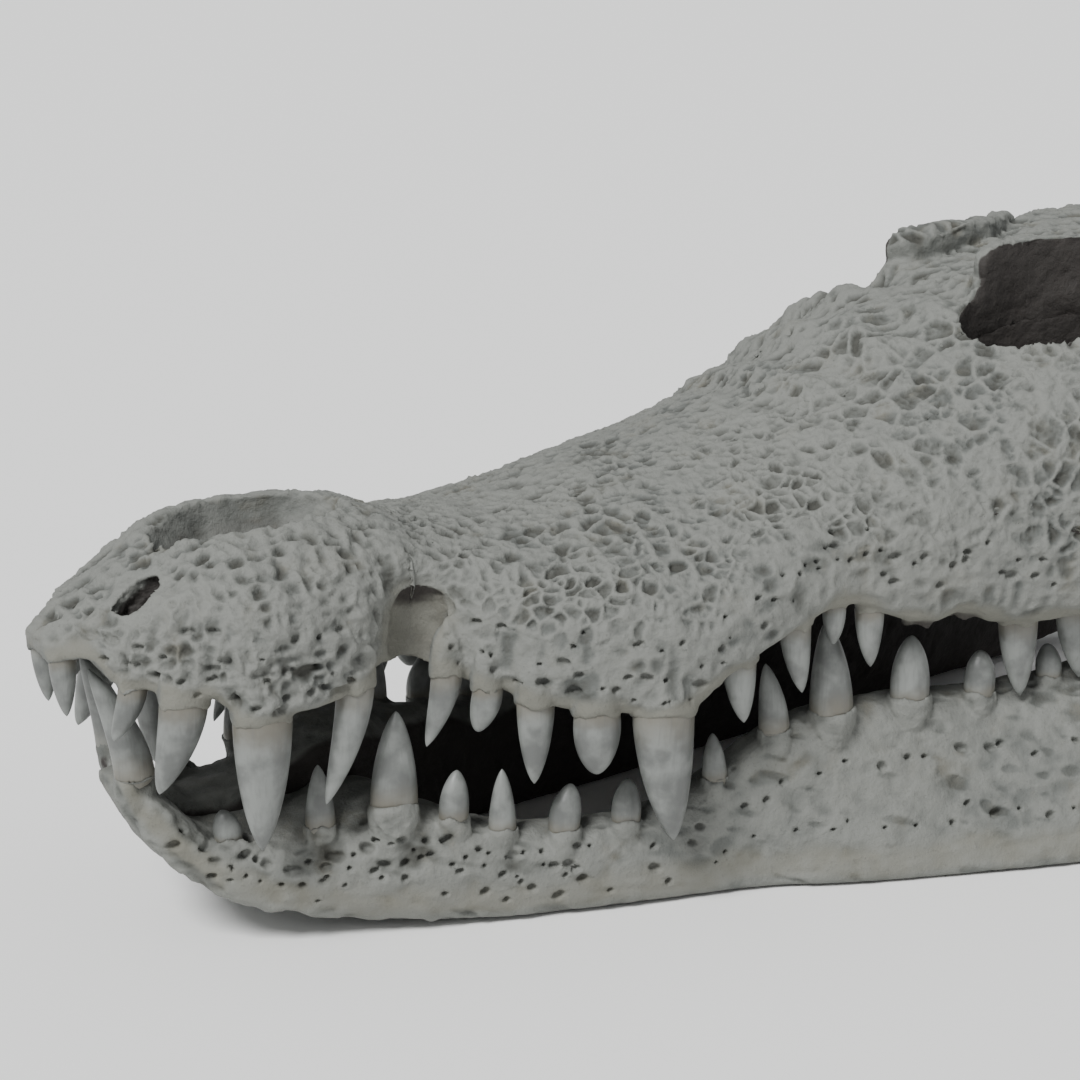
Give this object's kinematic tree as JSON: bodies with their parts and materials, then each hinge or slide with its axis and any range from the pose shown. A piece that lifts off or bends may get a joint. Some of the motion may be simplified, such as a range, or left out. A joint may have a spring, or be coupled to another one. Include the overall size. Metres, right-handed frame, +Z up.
{
  "type": "crocodile skull",
  "caption": "Long-snouted crocodile skull with its lower jaw, bones parted along their sutures, curved conical teeth, open eye sockets and temple openings, lying on its jaw.",
  "frame": {"origin": "middle of the skull's footprint, at the level that the underside of the jaw lies on", "axes": "+X runs from the snout to the back of the skull, +Y to the animal's right, +Z up through the skull roof"},
  "size_m": [0.602, 0.266, 0.184],
  "materials": {
    "bone": "dry, cleaned bone, matt and pitted",
    "tooth": "dry enamel and dentine, satin"
  },
  "bodies": {
    "root": {"premaxilla_left": "bone", "premaxilla_right": "bone", "maxilla_left": "bone", "maxilla_right": "bone", "nasal_left": "bone", "nasal_right": "bone", "prefrontal_left": "bone", "prefrontal_right": "bone", "lacrimal_left": "bone", "lacrimal_right": "bone", "jugal_left": "bone", "jugal_right": "bone", "frontal": "bone", "postorbital_left": "bone", "postorbital_right": "bone", "parietal": "bone", "squamosal_left": "bone", "squamosal_right": "bone", "quadrate_left": "bone", "quadrate_right": "bone", "braincase": "bone", "palatines": "bone", "pterygoids": "bone", "ectopterygoid_left": "bone", "ectopterygoid_right": "bone", "dentary_left": "bone", "dentary_right": "bone", "angular_left": "bone", "angular_right": "bone", "surangular_left": "bone", "surangular_right": "bone", "articular_left": "bone", "articular_right": "bone"}
  },
  "joints": []
}
